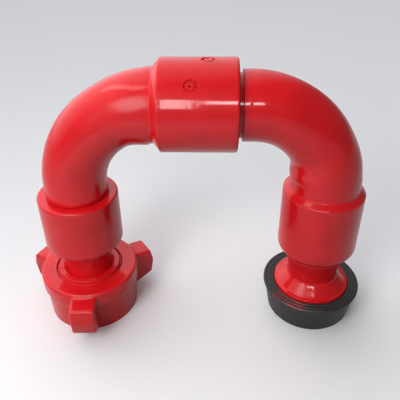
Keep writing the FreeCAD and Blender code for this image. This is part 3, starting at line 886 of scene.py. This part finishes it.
# Overspray on the protector: its azimuth and half its width in degrees, and its heights
OVERSPRAY_MIDDLE = -128.0
OVERSPRAY_HALF = 26.0
OVERSPRAY_SOLID = 0.55
OVERSPRAY_LOW = 36.0
OVERSPRAY_HIGH = 42.0
OVERSPRAY_RED = (0.20, 0.006, 0.010)
RUBBER_BLACK = (0.012, 0.010, 0.011)
RUBBER_DUSTY = (0.024, 0.019, 0.020)


def overspray(tree):
    """Share of red mist on one side of the protector's lip, in specks that thin out."""
    place = tree.nodes.new("ShaderNodeTexCoord")
    parts = tree.nodes.new("ShaderNodeSeparateXYZ")
    tree.links.new(place.outputs["Object"], parts.inputs["Vector"])
    aside = reckon(tree, "SUBTRACT", parts.outputs["X"], OUTLET_X * MM)
    azimuth = reckon(tree, "ARCTAN2", parts.outputs["Y"], aside)
    away = reckon(tree, "SUBTRACT", azimuth, math.radians(OVERSPRAY_MIDDLE))
    away = reckon(tree, "ABSOLUTE", away)
    half = math.radians(OVERSPRAY_HALF)
    sideways = spread(tree, away, 1, 0, half * OVERSPRAY_SOLID, half)
    upwards = spread(tree, parts.outputs["Z"], 0, 1, OVERSPRAY_LOW * MM, OVERSPRAY_HIGH * MM)
    specks = spread(tree, grain(tree, 130, detail=6.0), 0, 1, 0.38, 0.60)
    cover = reckon(tree, "MULTIPLY", sideways, upwards)
    return reckon(tree, "MULTIPLY", cover, specks)


def black_rubber():
    """Matt rubber with dust in its grain and red overspray on one side of the lip."""
    material, tree, shader = new_finish("black_rubber")
    dust = grain(tree, 90)
    rubber = blend(tree, spread(tree, dust, 0, 1, 0.35, 0.75), RUBBER_BLACK, RUBBER_DUSTY)
    colour = blend(tree, overspray(tree), rubber, OVERSPRAY_RED)
    tree.links.new(colour, shader.inputs["Base Color"])
    tree.links.new(spread(tree, dust, 0.42, 0.62), shader.inputs["Roughness"])
    shader.inputs["Specular IOR Level"].default_value = 0.4
    tree.links.new(raised(tree, [(grain(tree, 900), 0.03)]), shader.inputs["Normal"])
    return material


def seal_rubber():
    """Smooth nitrile of the packings and seals."""
    material, tree, shader = new_finish("seal_rubber")
    dull = spread(tree, grain(tree, 160), 0, 1)
    colour = blend(tree, dull, (0.022, 0.022, 0.023), (0.034, 0.033, 0.033))
    tree.links.new(colour, shader.inputs["Base Color"])
    tree.links.new(spread(tree, grain(tree, 300), 0.34, 0.48), shader.inputs["Roughness"])
    return material


def metal(name, bright, dull, smooth_side, rough_side, scale):
    """Bare metal whose tint and polish vary a little over it."""
    material, tree, shader = new_finish(name)
    worn = spread(tree, grain(tree, scale), 0, 1)
    tree.links.new(blend(tree, worn, bright, dull), shader.inputs["Base Color"])
    polish = spread(tree, grain(tree, scale * 2), smooth_side, rough_side)
    tree.links.new(polish, shader.inputs["Roughness"])
    shader.inputs["Metallic"].default_value = 1.0
    return material


FORGED = enamel("forged_enamel", [FORGING_WAVES, PEEL])
UPRIGHT = enamel("upright_enamel", [UPRIGHT_RINGS, TURNED_SKIN, PEEL])
LEVEL = enamel("level_enamel", [LEVEL_RINGS, TURNED_SKIN, PEEL])
CAST = enamel("cast_enamel", [CASTING_SWELLS, CASTING_SAND])
RUBBER = black_rubber()
SEAL = seal_rubber()
BALL_STEEL = metal("bearing_steel", (0.64, 0.64, 0.65), (0.56, 0.56, 0.57), 0.10, 0.20, 220)
BRASS = metal("turned_brass", (0.70, 0.53, 0.25), (0.60, 0.44, 0.20), 0.22, 0.34, 180)


# Dressing; the turned stretch of an elbow takes in the slope behind its sleeve
SLOPE = 8.0
LIP = 1.0


def dress(piece, node, body, finish):
    """Put a piece in its node's place, on its body and with its finish."""
    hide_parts(node)
    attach(piece, body)
    piece.data.materials.clear()
    piece.data.materials.append(finish)
    only(piece)
    bpy.ops.object.shade_smooth_by_angle(angle=math.radians(SMOOTH_ANGLE))


def turned_faces(piece, finish, axis, base, low, high):
    """Give a second finish to the faces of a forging's turned stretch."""
    reach = 60.0
    piece.data.materials.append(finish)
    for face in piece.data.polygons:
        away = face.center / MM - Vector(base)
        along, aside = (away.z, away.x) if axis == "Z" else (away.x, away.z)
        if low < along < high and math.hypot(aside, away.y) < reach:
            face.material_index = len(piece.data.materials) - 1


inlet_sub = make_inlet_sub()
left_elbow = make_left_elbow()
right_elbow = make_right_elbow()
outlet_sub = make_outlet_sub()
wing_nut = make_wing_nut()
dress(inlet_sub, "male_sub", "inlet_sub", UPRIGHT)
dress(left_elbow, "left_elbow", "left_elbow", FORGED)
dress(right_elbow, "right_elbow", "right_elbow", FORGED)
dress(outlet_sub, "female_sub", "outlet_sub", UPRIGHT)
dress(wing_nut, "wing_nut", "wing_nut", CAST)
turned_faces(left_elbow, LEVEL, "X", LEVEL_BASE, CENTRE_BACK - SLOPE, CENTRE_MOUTH + LIP)
turned_faces(right_elbow, UPRIGHT, "Z", OUTLET_BASE, OUTLET_MOUTH - LIP, OUTLET_BACK + SLOPE)
for node, segment in make_segments().items():
    dress(segment, node, "nut_carrier", UPRIGHT)
dress(make_protector(), "thread_protector", "thread_protector", RUBBER)
for swivel, facts in SWIVELS.items():
    skin = facts["sleeve"] - RACE
    plugs = make_port_pieces(swivel, "plug", plug_outline(skin), closed=False)
    rings = make_port_pieces(swivel, "plug_ring", plug_ring_outline(skin), closed=True)
    dress(plugs, f"{swivel}_ball_plugs", facts["sleeve_body"], UPRIGHT)
    dress(rings, f"{swivel}_plug_rings", facts["sleeve_body"], UPRIGHT)

# The pieces inside, which keep their own shape
INSIDE_FINISHES = (("seal", SEAL), ("packing", SEAL), ("backup", BRASS), ("snap", UPRIGHT))
for name in sorted(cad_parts):
    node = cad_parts[name]
    if node.hide_render:
        continue
    finishes = [finish for word, finish in INSIDE_FINISHES if word in name]
    for slot in node.material_slots:
        slot.material = finishes[0] if finishes else BALL_STEEL


# Floor, light and camera
def seen_rays(tree):
    """One where a ray comes from the camera, a reflection or through glass."""
    light = tree.nodes.new("ShaderNodeLightPath")
    share = light.outputs["Is Camera Ray"]
    for kind in ("Is Glossy Ray", "Is Transmission Ray"):
        share = reckon(tree, "MAXIMUM", share, light.outputs[kind])
    return share


def make_floor():
    """A plain pale floor that throws little light back on to the undersides."""
    side = 14.0
    seen_grey, lit_grey = (0.80, 0.80, 0.81), (0.16, 0.16, 0.16)
    bpy.ops.object.select_all(action="DESELECT")
    bpy.ops.mesh.primitive_plane_add(size=side)
    floor = bpy.context.object
    floor.name = "floor"
    material, tree, shader = new_finish("pale_floor")
    shader.inputs["Roughness"].default_value = 0.9
    shader.inputs["Specular IOR Level"].default_value = 0.1
    tree.links.new(blend(tree, seen_rays(tree), lit_grey, seen_grey), shader.inputs["Base Color"])
    floor.data.materials.append(material)


def make_lamp(name, place, aim, size, radiance, turn=0.0, gleam=False):
    """A flat lamp in metres; a gleam shows in glossy surfaces only, the others light the rest."""
    bpy.ops.object.light_add(type="AREA", location=place)
    lamp = bpy.context.object
    lamp.name = name
    lamp.data.shape = "RECTANGLE"
    lamp.data.size, lamp.data.size_y = size
    lamp.data.energy = radiance * math.pi * size[0] * size[1]
    towards = (Vector(aim) - Vector(place)).to_track_quat("-Z", "Y").to_matrix()
    lamp.rotation_euler = (towards @ Matrix.Rotation(math.radians(turn), 3, "Z")).to_euler()
    lamp.visible_glossy = gleam
    lamp.visible_diffuse = not gleam


def make_lamps():
    """A window at the left, its gleams on the enamel, and a soft light from the ceiling."""
    window = (-0.304, -0.730, 0.737)
    window_size = (0.42, 0.58)
    window_turn = 34
    elbow_front = (0.07, -0.033, 0.307)
    centre_front = (0.125, -0.047, 0.314)
    right_front = (0.21, -0.04, 0.28)
    elbow_back = (0.068, -0.022, 0.32)
    pane, side, strip = (0.05, -0.867, 0.70), (0.27, -0.80, 0.74), (-0.388, 0.014, 1.096)
    make_lamp("window_light", window, elbow_front, window_size, 9.0, window_turn)
    make_lamp("window_gleam", window, elbow_front, window_size, 32.0, window_turn, gleam=True)
    make_lamp("pane_gleam", pane, centre_front, (0.10, 0.34), 14.0, gleam=True)
    make_lamp("side_gleam", side, right_front, (0.26, 0.10), 22.0, gleam=True)
    make_lamp("strip_gleam", strip, elbow_back, (0.85, 0.16), 3.0, 45, gleam=True)
    make_lamp("ceiling_light", (0.1, -0.2, 2.6), (0.15, 0, 0), (3.0, 3.0), 0.35)


def make_world():
    """Even dim light all round, with a soft pale glow behind the inlet leg."""
    glow_side = Vector((-0.62, 0.62, 0.48)).normalized()
    world = bpy.data.worlds.new("studio")
    bpy.context.scene.world = world
    world.use_nodes = True
    tree = world.node_tree
    sky = tree.nodes["Background"]
    sky.inputs["Color"].default_value = (0.96, 0.97, 1.0, 1)
    place = tree.nodes.new("ShaderNodeTexCoord")
    towards = tree.nodes.new("ShaderNodeVectorMath")
    towards.operation = "DOT_PRODUCT"
    towards.inputs[1].default_value = glow_side
    tree.links.new(place.outputs["Generated"], towards.inputs[0])
    glow = spread(tree, towards.outputs["Value"], 0.20, 1.9, 0.35, 0.95)
    tree.links.new(glow, sky.inputs["Strength"])


def make_camera():
    """The camera at the place, turn in degrees and lens of the reference view."""
    place = Vector((167.3, -511.3, 515.1)) * MM
    turn = [math.radians(angle) for angle in (55.89, 0.42, 1.60)]
    bpy.ops.object.camera_add(location=place, rotation=turn)
    camera = bpy.context.object
    camera.data.lens = 45.14
    camera.data.sensor_width = 36.0
    bpy.context.scene.camera = camera


make_floor()
make_lamps()
make_world()
make_camera()
bpy.context.scene.view_settings.view_transform = "Standard"
